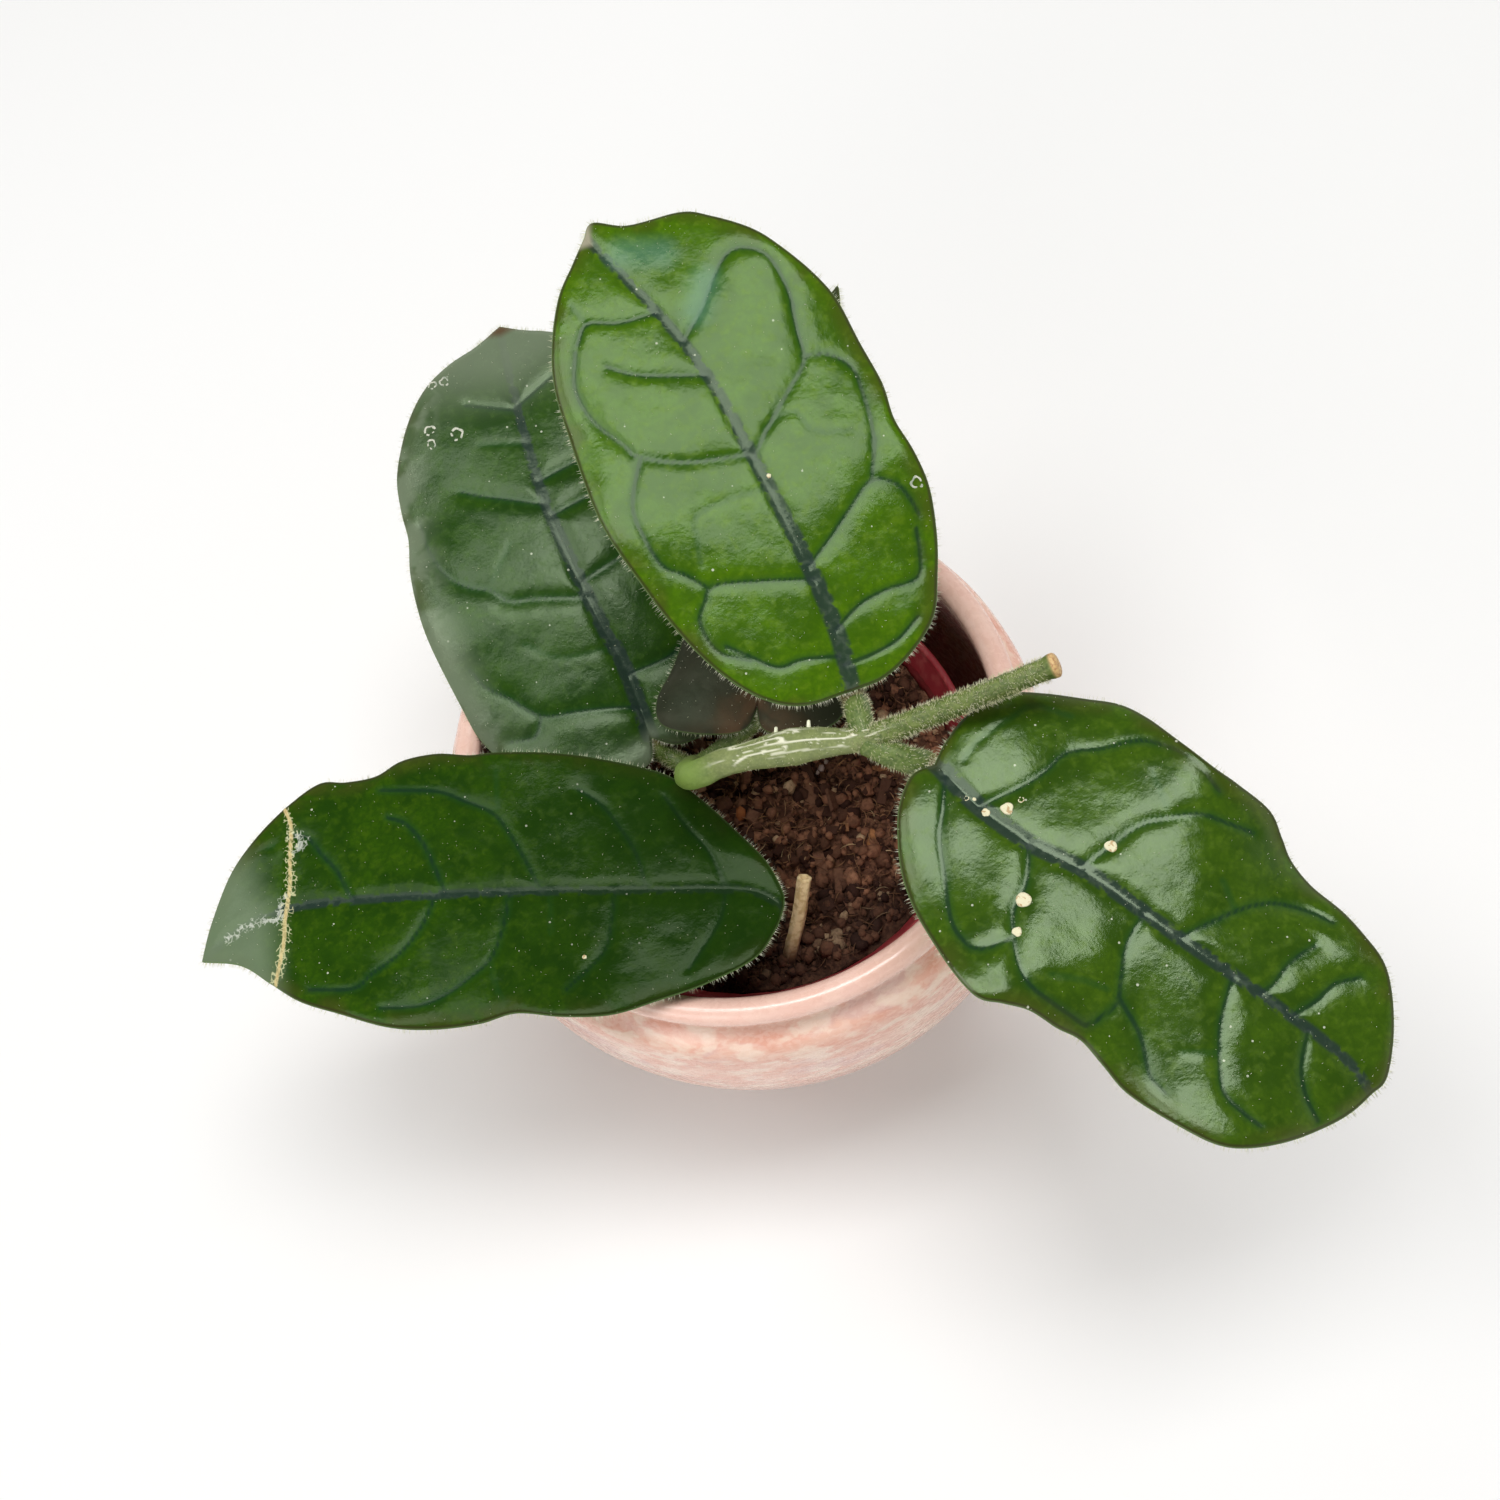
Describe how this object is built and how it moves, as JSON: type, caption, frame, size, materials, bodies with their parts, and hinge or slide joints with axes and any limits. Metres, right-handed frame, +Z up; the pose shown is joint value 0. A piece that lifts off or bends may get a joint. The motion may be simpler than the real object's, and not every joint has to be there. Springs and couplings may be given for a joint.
{
  "type": "potted hoya villosa plant",
  "caption": "Young climbing hoya with quilted, hairy-edged leaves on an arching cut stem, growing in bark soil in a plastic nursery pot inside a round glazed ceramic pot.",
  "frame": {"origin": "centre of the ceramic pot's flat bottom, on the surface that it stands on", "axes": "+Z up along the pot's axis, -Y towards the front that the picture looks at from above, +X to the right, where the stem's cut end points"},
  "size_m": [0.231, 0.2391, 0.1886],
  "materials": {
    "glaze": "pale pink rim over a salmon, cream and lavender mottled glaze, satin gloss",
    "liner_plastic": "thin brick-red moulded plastic",
    "bark_soil": "coarse reddish-brown coir and bark chips, matte",
    "green_stem": "olive green, densely covered in short pale hairs, with pale corky cracks on the older part",
    "dry_stem": "straw-coloured dry hollow stalk",
    "leaf_blade": "waxy green blade, quilted between dark sunken veins, with short pale hairs along its edge"
  },
  "bodies": {
    "root": {"ceramic_pot": "glaze", "nursery_pot": "liner_plastic", "soil": "bark_soil", "main_stem": "green_stem", "dry_stub": "dry_stem", "petiole_a": "green_stem", "petiole_b": "green_stem", "petiole_c": "green_stem", "petiole_d": "green_stem", "petiole_e": "green_stem", "leaf_a": "leaf_blade", "leaf_b": "leaf_blade", "leaf_c": "leaf_blade", "leaf_d": "leaf_blade", "leaf_e": "leaf_blade"}
  },
  "joints": []
}
